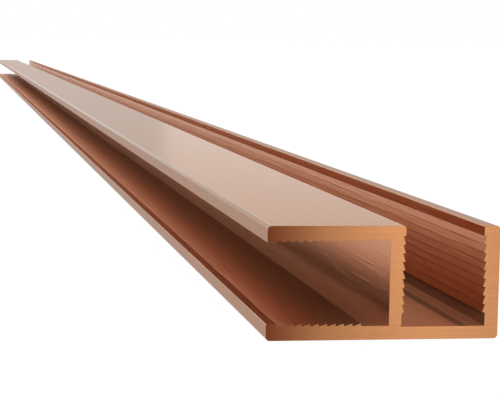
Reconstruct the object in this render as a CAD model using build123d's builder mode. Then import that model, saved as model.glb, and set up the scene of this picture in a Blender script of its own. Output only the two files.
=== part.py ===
"""Corner profile for boards: one aluminium extrusion with two barbed channels at a right angle.

The profile lies on its floor plate. X runs across the section, Y along the stock and Z up.
The origin is on the underside of the floor plate, midway across the section and along the stock.
"""

import os

from build123d import *

# Stock
stock_length = 1000.0  # one cut length

# Board that both channels hold
board_thickness = 8.0
board_play = 0.2  # room for the board between the roots of the teeth

# Walls, each measured to the roots of its teeth
lip_wall = 1.35  # lip over the side channel
side_floor_wall = 1.35  # floor plate under the side channel
upright_floor_wall = 1.25  # floor plate under the upright channel
web_wall = 1.25  # wall between the two channels
back_wall = 1.35  # outer wall of the upright channel

# Channels
side_channel_depth = 11.9  # from the mouth at the left to the web
side_plain_depth = 2.6  # least depth left without teeth at the bottom of the side channel
upright_plain_depth = 1.2  # least depth left without teeth at the bottom of the upright channel

# Grip teeth, barbs that let a board in and hold it there
land_length = 1.0  # level lead-in at a channel's mouth, as high as the teeth
tooth_pitch = 0.82
tooth_height = 0.25

# Edges
outer_edge_radius = 0.4  # the section's four outer corners
web_edge_radius = 0.3  # corner of the web at the upright channel's mouth
mouth_edge_radius = 0.1  # corners that a board passes as it goes in

# Sizes that follow
channel_gap = board_thickness + board_play
section_height = side_floor_wall + channel_gap + lip_wall
section_width = side_channel_depth + web_wall + channel_gap + back_wall
upright_channel_depth = section_height - upright_floor_wall
left_side = -section_width / 2
side_channel_middle = side_floor_wall + channel_gap / 2
upright_channel_middle = section_width / 2 - back_wall - channel_gap / 2


def barbed_channel(depth, plain_depth):
    """The open space of one channel, mouth up, with its mouth's middle at the origin.

    One half of the outline goes down the land, over the barbs and across the bottom.
    Each barb is a ramp that closes in on the board and a square step back to the root,
    so the steps face the bottom of the channel. The other half is its mirror image.
    """
    root = channel_gap / 2
    tip = root - tooth_height
    tooth_count = int((depth - land_length - plain_depth) // tooth_pitch)
    outline = [(0, 0), (tip, 0), (tip, -land_length), (root, -land_length)]
    for tooth in range(tooth_count):
        step = -land_length - (tooth + 1) * tooth_pitch
        outline += [(tip, step), (root, step)]
    outline += [(root, -depth), (0, -depth)]
    with BuildSketch() as channel:
        with BuildLine():
            Polyline(*outline)
            mirror(about=Plane.YZ)
        make_face()
    return channel.sketch


side_channel = barbed_channel(side_channel_depth, side_plain_depth)
upright_channel = barbed_channel(upright_channel_depth, upright_plain_depth)

with BuildPart() as corner_profile:
    with BuildSketch(Plane.XZ) as section:
        with Locations((0, section_height / 2)):
            RectangleRounded(section_width, section_height, outer_edge_radius)

        # The side channel opens to the left, the upright channel at the top
        with Locations((left_side, side_channel_middle)):
            add(side_channel, rotation=90, mode=Mode.SUBTRACT)
        with Locations((upright_channel_middle, section_height)):
            add(upright_channel, mode=Mode.SUBTRACT)

        # The web's corner is rounded, and the three other corners at the mouths are only eased
        top_corners = section.vertices().group_by(Axis.Y)[-1].sort_by(Axis.X)
        fillet(top_corners[1], radius=web_edge_radius)
        back_corner = section.vertices().group_by(Axis.Y)[-1].sort_by(Axis.X)[2]
        side_corners = section.vertices().group_by(Axis.X)[0].sort_by(Axis.Y)[1:3]
        fillet([back_corner, *side_corners], radius=mouth_edge_radius)
    extrude(amount=stock_length / 2, both=True)

corner_profile.part.label = "corner_profile"

os.makedirs("parts", exist_ok=True)
export_step(corner_profile.part, "parts/corner_profile.step")
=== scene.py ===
from math import cos, radians, sin

import bpy
import numpy as np
from mathutils import Matrix, Vector
from mathutils.geometry import tessellate_polygon


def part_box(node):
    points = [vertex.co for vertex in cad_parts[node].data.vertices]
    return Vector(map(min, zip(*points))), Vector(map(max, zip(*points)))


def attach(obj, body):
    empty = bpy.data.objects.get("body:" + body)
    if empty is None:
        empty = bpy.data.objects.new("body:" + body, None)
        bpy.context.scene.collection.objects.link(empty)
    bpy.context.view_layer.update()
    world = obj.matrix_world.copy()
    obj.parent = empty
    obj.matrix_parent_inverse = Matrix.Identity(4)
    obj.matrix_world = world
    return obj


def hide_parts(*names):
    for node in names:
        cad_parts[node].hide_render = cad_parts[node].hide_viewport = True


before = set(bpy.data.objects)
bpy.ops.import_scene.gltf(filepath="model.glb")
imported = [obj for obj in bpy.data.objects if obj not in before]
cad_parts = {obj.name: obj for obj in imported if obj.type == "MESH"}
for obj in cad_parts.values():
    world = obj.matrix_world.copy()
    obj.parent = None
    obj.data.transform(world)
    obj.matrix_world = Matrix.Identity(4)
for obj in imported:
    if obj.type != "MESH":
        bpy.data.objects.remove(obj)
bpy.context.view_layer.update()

# The corner profile, one length of aluminium pressed through a die and anodised in a satin copper colour.
# Two channels at a right angle grip boards by rows of barbs. The die leaves every edge a little round,
# and the fine saw that cuts the length leaves a narrow eased edge round both ends.
mm = 0.001
low, high = (np.array(corner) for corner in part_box("corner_profile"))
left, near, foot = low
right, far, top = high

# Walls to the roots of the barbs, and how deep the channels are
lip_wall = 1.35 * mm
side_floor_wall = 1.35 * mm
upright_floor_wall = 1.25 * mm
web_wall = 1.25 * mm
back_wall = 1.35 * mm
side_depth = 11.9 * mm
upright_depth = top - foot - upright_floor_wall

# Barbs, behind a level land at each mouth
land = 1.0 * mm
barb_pitch = 0.82 * mm
barb_height = 0.25 * mm
side_barbs = 10
upright_barbs = 9

# Edges
outer_radius = 0.4 * mm
web_radius = 0.3 * mm
mouth_radius = 0.1 * mm
barb_radius = 0.03 * mm
inner_radius = 0.01 * mm
sawn_ease = 0.02 * mm
arc_steps = 6
length_spans = 40

# How dull the faces are, and by how much the die burnishes the outer corners
plain_dullness = 0.19
bottom_dullness = 0.6
wall_dullness = 0.26
barb_dullness = 0.3
edge_dullness = 0.38
burnish = 0.15

# Painted shade and painted reflections: a thin dark colour drawn in place of dark reflections and shade deep
# in the channels, not known on the real stock.
# It lies on the upright channel's plain foot and in a line along its floor, at these distances from the back
# wall, and on the side channel's walls, where it begins and is full at these shares of the way in
foot_painted_shade = 0.7
line_painted_shade = 0.65
line_begins = 1.4 * mm
line_full = 1.9 * mm
line_fades = 2.3 * mm
line_ends = 2.9 * mm
deep_painted_shade = 0.4
painted_shade_begins = 0.25
painted_shade_full = 0.75

# Finishes, numbered as the mesh's materials are
outer_finish = 0
channel_finish = 1
edge_finish = 2
sawn_finish = 3


def barb_row(depth, barbs):
    """One barbed side as distances in from the mouth and heights over the root.

    It stays at full height over the land, then each barb is a ramp from the root to full height
    that ends in a square step back to the root. Behind the last step it stays at the root.
    """
    steps = land + barb_pitch * np.arange(barbs + 1)
    inward = np.concatenate([[0.0], np.repeat(steps, 2), [depth]])
    height = np.concatenate([[barb_height], np.tile([barb_height, 0.0], barbs + 1), [0.0]])
    return inward, height


def section_corners():
    """Corners of the section against the clock as (x, z), with each corner's radius.

    They go round the floor plate and up the back wall, down and up the upright channel, along the lip,
    then in and out of the side channel. A row of barbs is laid on each of the four channel sides.
    Three more arrays tell of the side after each corner: how dull it is, how much painted shade lies on it,
    which rises evenly on the way into the side channel, and its finish.
    """
    inward, height = barb_row(upright_depth, upright_barbs)
    back_side = np.stack([right - back_wall - height, top - inward], axis=1)
    web_side = np.stack([left + side_depth + web_wall + height, top - inward], axis=1)
    inward, height = barb_row(side_depth, side_barbs)
    lip_side = np.stack([left + inward, top - lip_wall - height], axis=1)
    floor_side = np.stack([left + inward, foot + side_floor_wall + height], axis=1)

    def row_radii(row, mouth):
        return np.concatenate([[mouth], np.full(len(row) - 2, barb_radius), [inner_radius]])

    def row_dullness(row):
        return [barb_dullness] * (len(row) - 2) + [wall_dullness]

    corners = np.concatenate([
        [[left, foot], [right, foot], [right, top]],
        back_side, web_side[::-1], [[left, top]], lip_side, floor_side[::-1],
    ])
    radii = np.concatenate([
        [outer_radius] * 3,
        row_radii(back_side, mouth_radius), row_radii(web_side, web_radius)[::-1], [outer_radius],
        row_radii(lip_side, mouth_radius), row_radii(floor_side, mouth_radius)[::-1],
    ])
    dullness = np.concatenate([
        [plain_dullness, plain_dullness, edge_dullness],
        row_dullness(back_side), [bottom_dullness], row_dullness(web_side)[::-1],
        [plain_dullness, edge_dullness],
        row_dullness(lip_side), [wall_dullness], row_dullness(floor_side)[::-1], [edge_dullness],
    ])
    # Painted shade: a dark colour on the upright channel's plain foot and deep in the side channel, in place
    # of dark reflections
    upright_painted_shade = np.append(np.zeros(len(back_side) - 2), foot_painted_shade)
    way_in = np.linspace(0, 1, len(lip_side) - 1)
    side_painted_shade = deep_painted_shade * np.clip((way_in - painted_shade_begins) / (painted_shade_full - painted_shade_begins), 0, 1)
    painted_shade = np.concatenate([
        np.zeros(3), upright_painted_shade, [0], upright_painted_shade[::-1],
        np.zeros(2), side_painted_shade, [0], side_painted_shade[::-1], [0],
    ])
    finish = np.concatenate([
        [outer_finish, outer_finish, edge_finish], np.full(2 * len(back_side) - 1, channel_finish),
        [outer_finish, edge_finish], np.full(2 * len(lip_side) - 1, channel_finish), [edge_finish],
    ])
    return corners, radii, dullness, painted_shade, finish


def rounded_outline(corners, radii):
    """The closed outline with an arc in each corner, as points and outward normals.

    A corner turns from the heading of the side before it to that of the side after it. Its arc starts
    radius * tan(turn / 2) before the corner, and its centre is a radius to the side that it turns to.
    Along the arc the heading goes evenly from one side's to the other's, and the normal is square to it.
    """
    before = corners - np.roll(corners, 1, axis=0)
    heading = np.arctan2(before[:, 1], before[:, 0])
    turn = (np.roll(heading, -1) - heading + np.pi) % (2 * np.pi) - np.pi
    along = np.stack([np.cos(heading), np.sin(heading)], axis=1)
    outward = np.stack([np.sin(heading), -np.cos(heading)], axis=1)
    reach = radii * np.tan(np.abs(turn) / 2)
    bend = (radii * np.sign(turn))[:, None]
    centre = corners - reach[:, None] * along - bend * outward
    headings = heading[:, None] + turn[:, None] * np.linspace(0, 1, arc_steps + 1)
    normals = np.stack([np.sin(headings), -np.cos(headings)], axis=2)
    points = centre[:, None, :] + bend[:, None, :] * normals
    return points.reshape(-1, 2), normals.reshape(-1, 2)


def carried_along(outline, normals):
    """The outline carried along Y as a grid of rings by points, with a normal for each point.

    The rings lie evenly along the length. The first and the last are the sawn faces' own edges:
    they are drawn in by the ease, and their normals look along Y, so the eased edge shades round.
    """
    stations = np.linspace(near + sawn_ease, far - sawn_ease, length_spans + 1)
    stations = np.concatenate([[near], stations, [far]])
    drawn_in = np.zeros((len(stations), 1, 1))
    drawn_in[[0, -1]] = sawn_ease
    grid = np.empty((len(stations), len(outline), 3))
    grid[:, :, [0, 2]] = outline - drawn_in * normals
    grid[:, :, 1] = stations[:, None]
    facing = np.zeros_like(grid)
    facing[:, :, [0, 2]] = normals
    facing[[0, -1]] = [[[0, -1, 0]], [[0, 1, 0]]]
    return grid, facing


corners, radii, dullness, painted_shade, finish = section_corners()
outline, outline_normals = rounded_outline(corners, radii)
grid, facing = carried_along(outline, outline_normals)
rings, around = grid.shape[:2]
index = np.arange(rings * around).reshape(rings, around)
index_on = np.roll(index, -1, axis=1)
quads = np.stack([index[:-1], index[1:], index_on[1:], index_on[:-1]], axis=2).reshape(-1, 4)
sawn_face = np.array(tessellate_polygon([[Vector((x, z, 0)) for x, z in outline / mm]]))
sawn_faces = np.concatenate([index[0][sawn_face], index[-1][sawn_face[:, ::-1]]])

profile_mesh = bpy.data.meshes.new("corner_profile_drawn")
profile_mesh.from_pydata(grid.reshape(-1, 3), [], quads.tolist() + sawn_faces.tolist())
profile_mesh.polygons.foreach_set("use_smooth", np.ones(len(profile_mesh.polygons), dtype=bool))
profile_mesh.normals_split_custom_set_from_vertices(facing.reshape(-1, 3))

# A corner's arc takes the higher finish of its two sides, so an edge's finish goes round its corners
in_corner = np.maximum(np.roll(finish, 1), finish)
finish = np.concatenate([np.tile(in_corner[:, None], arc_steps), finish[:, None]], axis=1)
finish = np.concatenate([np.tile(finish.ravel(), rings - 1), np.full(len(sawn_faces), sawn_finish)])
profile_mesh.polygons.foreach_set("material_index", finish.astype(np.int32))


def paint_points(name, values):
    """Writes a value for each point of the outline to the mesh, the same all along the length."""
    painted = profile_mesh.attributes.new(name, "FLOAT", "POINT")
    painted.data.foreach_set("value", np.tile(values.ravel(), rings))


# Dullness and painted shade go evenly round a corner from one side to the next, and the die's own pressure
# burnishes the middle of the outer corners
rubbed = np.outer(radii == outer_radius, burnish * np.sin(np.linspace(0, np.pi, arc_steps + 1)))
paint_points("dullness", np.linspace(np.roll(dullness, 1), dullness, arc_steps + 1, axis=1) - rubbed)
paint_points("painted_shade", np.linspace(np.roll(painted_shade, 1), painted_shade, arc_steps + 1, axis=1))

# The map for baking: the outline unrolled across it with a little room for each arc, the length up it,
# and beside that the two sawn faces on end, one above the other
unrolled_share = 0.88
eased_share = 0.002
arc_room = 0.02 * mm
near_face_place = (0.9, 0.01)
far_face_place = (0.9, 0.51)
sawn_face_size = (0.09, 0.48)
unrolled = np.linalg.norm(np.roll(outline, -1, axis=0) - outline, axis=1) + arc_room
unrolled = unrolled_share * np.concatenate([[0.0], np.cumsum(unrolled) / unrolled.sum()])
upward = np.concatenate([[0.0], np.linspace(eased_share, 1 - eased_share, rings - 2), [1.0]])
side_map = np.empty((rings - 1, around, 4, 2))
side_map[..., 0] = np.stack([unrolled[:-1], unrolled[:-1], unrolled[1:], unrolled[1:]], axis=1)
side_map[..., 1] = np.stack([upward[:-1], upward[1:], upward[1:], upward[:-1]], axis=1)[:, None]
on_end = ((outline - [left, foot]) / [right - left, top - foot])[:, ::-1] * sawn_face_size
near_map = on_end[sawn_face] + near_face_place
far_map = on_end[sawn_face[:, ::-1]] + far_face_place
bake_map = profile_mesh.uv_layers.new(name="OFBake")
bake_map.uv.foreach_set("vector", np.concatenate([part.ravel() for part in (side_map, near_map, far_map)]))

profile = bpy.data.objects.new("corner_profile_drawn", profile_mesh)
bpy.context.collection.objects.link(profile)


class Level:
    """A socket in a node tree. Arithmetic with it adds Math nodes, and node() adds any other node."""

    def __init__(self, tree, socket=None):
        self.tree = tree
        self.socket = socket

    def node(self, kind, settings=None, inputs=None, output=0):
        """Adds a node: its settings first, then a value or a link for each named or numbered input."""
        made = self.tree.nodes.new("ShaderNode" + kind)
        for name, value in (settings or {}).items():
            setattr(made, name, value)
        for name, value in (inputs or {}).items():
            if isinstance(value, Level):
                self.tree.links.new(value.socket, made.inputs[name])
            else:
                made.inputs[name].default_value = value
        return Level(self.tree, made.outputs[output] if made.outputs else None)

    def math(self, operation, first, second):
        return self.node("Math", {"operation": operation}, {0: first, 1: second})

    def __add__(self, other):
        return self.math("ADD", self, other)

    def __radd__(self, other):
        return self.math("ADD", other, self)

    def __sub__(self, other):
        return self.math("SUBTRACT", self, other)

    def __rsub__(self, other):
        return self.math("SUBTRACT", other, self)

    def __mul__(self, other):
        return self.math("MULTIPLY", self, other)

    def __rmul__(self, other):
        return self.math("MULTIPLY", other, self)


def new_finish(name):
    """An empty material and the start of its node tree."""
    material = bpy.data.materials.new(name)
    material.use_nodes = True
    material.node_tree.nodes.clear()
    return material, Level(material.node_tree)


def streaks(start, fine, detail):
    """Noise on Object coordinates, drawn out into lines: fine is the lines to the metre across each axis."""
    place = start.node("TexCoord", output="Object")
    drawn = start.node("Mapping", inputs={"Vector": place, "Scale": fine})
    return start.node("TexNoise", inputs={"Vector": drawn, "Scale": 1.0, "Detail": detail, "Roughness": 0.6})


def mixed(start, share, first, second, way="MIX"):
    """A colour that goes from the first to the second with the share, or is multiplied by the second."""
    first, second = (one if isinstance(one, Level) else (*one, 1) for one in (first, second))
    return start.node("Mix", {"data_type": "RGBA", "blend_type": way}, {
        "Factor": share, 6: first, 7: second}, output=2)


def eased(start, value, begins, ends, first, last):
    """A level that goes smoothly from first to last while the value goes from begins to ends."""
    return start.node("MapRange", {"interpolation_type": "SMOOTHSTEP"}, {
        "Value": value, "From Min": begins, "From Max": ends, "To Min": first, "To Max": last})


def copper_anodised(name, deep, pale, dull_shade, level_tint, floor_painted_shade=0.0):
    """Satin anodising in a copper colour, over the lines that the die draws along the length.

    Broad lines take the colour from deep to pale, and fine ones and a few higher scores are relief.
    The dullest faces are shaded. The painted shade deep in the channels darkens the metal and takes its
    share of the metal's gloss.
    level_tint is the colour of light that comes off almost level with the face, and the last argument is how
    much painted shade lies in the line on the upright channel's floor, drawn in place of a dark reflection.
    """
    # The colour of the painted shade: a near black brown
    painted_shade_colour = (0.04, 0.025, 0.02)
    relief = 0.003 * mm
    score_height = 3
    material, start = new_finish(name)
    die_lines = streaks(start, (9000, 150, 9000), detail=2)
    broad_lines = streaks(start, (700, 1.5, 700), detail=2)
    score_lines = streaks(start, (5500, 70, 5500), detail=1)
    scores = start.node("MapRange", inputs={"Value": score_lines, "From Min": 0.55, "From Max": 0.75})
    dullness = start.node("Attribute", {"attribute_name": "dullness"}, output="Fac")
    dullest = start.node("MapRange", inputs={
        "Value": dullness, "From Min": wall_dullness, "From Max": barb_dullness})
    # Painted shade deep in the channels, and a line of it along the upright channel's floor drawn in place
    # of a dark reflection of the lowest barbs
    painted_shade = start.node("Attribute", {"attribute_name": "painted_shade"}, output="Fac")
    if floor_painted_shade:
        wall = right - back_wall
        across = start.node("SeparateXYZ", inputs={0: start.node("TexCoord", output="Object")}, output=0)
        from_web = eased(start, across, wall - line_ends, wall - line_fades, 0.0, floor_painted_shade)
        to_wall = eased(start, across, wall - line_full, wall - line_begins, 1.0, 0.0)
        painted_shade = painted_shade + from_web * to_wall
    dyed = mixed(start, dullest, mixed(start, broad_lines, deep, pale), dull_shade, way="MULTIPLY")
    ridges = start.node("Bump", inputs={
        "Strength": 1.0, "Distance": relief, "Height": die_lines + score_height * scores})
    surface = start.node("BsdfPrincipled", inputs={
        "Base Color": mixed(start, painted_shade, dyed, painted_shade_colour), "Metallic": 1 - painted_shade, "Roughness": dullness,
        "Specular IOR Level": 0.0, "Specular Tint": (*level_tint, 1),
        "Coat Weight": 0.1, "Coat Roughness": 0.3, "Normal": ridges})
    start.node("OutputMaterial", inputs={"Surface": surface})
    return material


def copper_sawn():
    """The cut ends, where the saw's teeth leave fine level lines across the copper colour.

    The colour deepens towards the left edge, a painted shade in place of a darker reflection there: half of
    it over the last few millimetres, half over most of the width. The lines spread the gloss across
    themselves.
    """
    # The darkest colour, where the painted shade is full at the left edge
    deep = (0.18, 0.045, 0.017)
    dark_line = (0.425, 0.188, 0.077)
    pale_line = (0.545, 0.246, 0.104)
    fast_reach = 5.5 * mm
    slow_reach = 16 * mm
    relief = 0.004 * mm
    least_dullness = 0.18
    line_dullness = 0.08
    material, start = new_finish("copper_sawn")
    saw_lines = streaks(start, (120, 120, 9000), detail=3)
    broad_lines = streaks(start, (30, 30, 4000), detail=2)
    across = start.node("SeparateXYZ", inputs={0: start.node("TexCoord", output="Object")}, output=0)

    # Painted shade: the colour darkens towards the left edge of the sawn face
    def painted_shade_ramp(reach):
        return start.node("MapRange", inputs={
            "Value": across, "From Min": left, "From Max": left + reach, "To Min": 0.5, "To Max": 0.0})

    left_painted_shade = painted_shade_ramp(fast_reach) + painted_shade_ramp(slow_reach)
    ridges = start.node("Bump", inputs={"Strength": 1.0, "Distance": relief, "Height": saw_lines})
    surface = start.node("BsdfPrincipled", inputs={
        "Base Color": mixed(start, left_painted_shade, mixed(start, broad_lines, dark_line, pale_line), deep),
        "Metallic": 1.0, "Roughness": least_dullness + line_dullness * saw_lines,
        "Anisotropic": 1.0, "Anisotropic Rotation": 0.25, "Specular Tint": (0.76, 0.66, 0.6, 1),
        "Normal": ridges})
    start.node("OutputMaterial", inputs={"Surface": surface})
    return material


profile_mesh.materials.append(copper_anodised(
    "copper_anodised", deep=(0.46, 0.19, 0.09), pale=(0.52, 0.225, 0.108),
    dull_shade=(0.9, 0.95, 1.0), level_tint=(0.61, 0.463, 0.335)))
# The channel copy is paler and brighter at glancing angles than the outer copper: painted light inside the
# channels
profile_mesh.materials.append(copper_anodised(
    "copper_channel", deep=(0.52, 0.208, 0.098), pale=(0.58, 0.245, 0.117),
    dull_shade=(0.82, 0.74, 0.7), level_tint=(1.0, 0.865, 0.75), floor_painted_shade=line_painted_shade))
# The edge copy is lighter and greyer at glancing angles than the outer copper: a painted reflection colour
# on the side edges
profile_mesh.materials.append(copper_anodised(
    "copper_edge", deep=(0.46, 0.19, 0.09), pale=(0.52, 0.225, 0.108),
    dull_shade=(0.9, 0.95, 1.0), level_tint=(0.72, 0.72, 0.69)))
profile_mesh.materials.append(copper_sawn())
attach(profile, "root")
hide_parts("corner_profile")

# The floor that the profile lies on, one plain sheet of matt white board, far wider than the stock is long.
# The camera and the metal see it as white paper under even light, and it keeps a part of every shadow.
floor_reach = 30.0
board_white = (0.9, 0.9, 0.9, 1)
paper_white = 1.08
paper_share = 0.85
floor_mesh = bpy.data.meshes.new("floor")
floor_mesh.from_pydata(
    floor_reach * np.array([[-1, -1, 0], [1, -1, 0], [1, 1, 0], [-1, 1, 0]]), [], [[0, 1, 2, 3]])
floor = bpy.data.objects.new("floor", floor_mesh)
bpy.context.collection.objects.link(floor)
floor_white, start = new_finish("floor_white")
board = start.node("BsdfDiffuse", inputs={"Color": board_white})
paper = start.node("Emission", inputs={"Color": (1, 1, 1, 1), "Strength": paper_white})
seen = (start.node("LightPath", output="Is Camera Ray") + start.node("LightPath", output="Is Glossy Ray")
        + start.node("LightPath", output="Is Transmission Ray"))
surface = start.node("MixShader", inputs={0: paper_share * seen, 1: board, 2: paper})
start.node("OutputMaterial", inputs={"Surface": surface})
floor_mesh.materials.append(floor_white)

# The studio: a white room that is darker behind the camera and dimmer high up ahead, with three soft lamps,
# one at the front right for the sawn face, one high at the back left and a wide low one at the back right.
light_behind = 0.5
dimmed_high = 0.3
studio = bpy.data.worlds.new("studio")
studio.use_nodes = True
studio.node_tree.nodes.clear()
start = Level(studio.node_tree)
ahead = start.node("SeparateXYZ", inputs={0: start.node("TexCoord", output="Generated")}, output=1)
above = start.node("SeparateXYZ", inputs={0: start.node("TexCoord", output="Generated")}, output=2)
lit = eased(start, ahead, -0.9, -0.1, light_behind, 1.0)
dimmed = eased(start, ahead, 0.8, 0.94, 0.0, 1.0) * eased(start, above, 0.1, 0.3, 0.0, dimmed_high)
sky = start.node("Background", inputs={"Color": (1, 1, 1, 1), "Strength": lit - dimmed})
start.node("OutputWorld", inputs={"Surface": sky})
bpy.context.scene.world = studio


def soft_lamp(name, place, target, width, height, watts):
    """A soft lamp of that width and height at place, which looks at target."""
    lamp_data = bpy.data.lights.new(name, "AREA")
    lamp_data.shape = "RECTANGLE"
    lamp_data.size = width
    lamp_data.size_y = height
    lamp_data.energy = watts
    lamp = bpy.data.objects.new(name, lamp_data)
    lamp.location = place
    lamp.rotation_euler = (Vector(target) - Vector(place)).to_track_quat("-Z", "Y").to_euler()
    lamp.visible_camera = False
    bpy.context.collection.objects.link(lamp)


near_end = (0, near, 0)
middle = (0, 0, 0)
soft_lamp("front_right_lamp", (0.12, near - 0.4, 0.15), near_end, width=0.06, height=0.3, watts=0.15)
soft_lamp("back_lamp", (-0.7, 1.5, 1.0), middle, width=1.0, height=1.0, watts=9.0)
soft_lamp("right_panel", (1.15, 2.6, 0.35), near_end, width=1.6, height=0.7, watts=1.2)

# The camera, at the photograph's view: close to the near end, a little to its left and above it, and turned
# to the right, down and slightly over.
yaw = radians(10.115)
pitch = radians(5.528)
roll = radians(1.110)
ahead = Vector((sin(yaw) * cos(pitch), cos(yaw) * cos(pitch), -sin(pitch)))
across = Vector((cos(yaw), -sin(yaw), 0))
upward = across.cross(ahead)
across, upward = cos(roll) * across + sin(roll) * upward, cos(roll) * upward - sin(roll) * across
camera_data = bpy.data.cameras.new("camera")
camera_data.sensor_width = 36
camera_data.lens = 119.692
camera_data.clip_start = 0.01
camera_data.clip_end = 100
camera = bpy.data.objects.new("camera", camera_data)
camera.rotation_euler = Matrix((across, upward, -ahead)).transposed().to_euler()
camera.location = (-40.084 * mm, -651.384 * mm, 28.203 * mm)
bpy.context.collection.objects.link(camera)
bpy.context.scene.camera = camera

bpy.context.scene.view_settings.view_transform = "Standard"
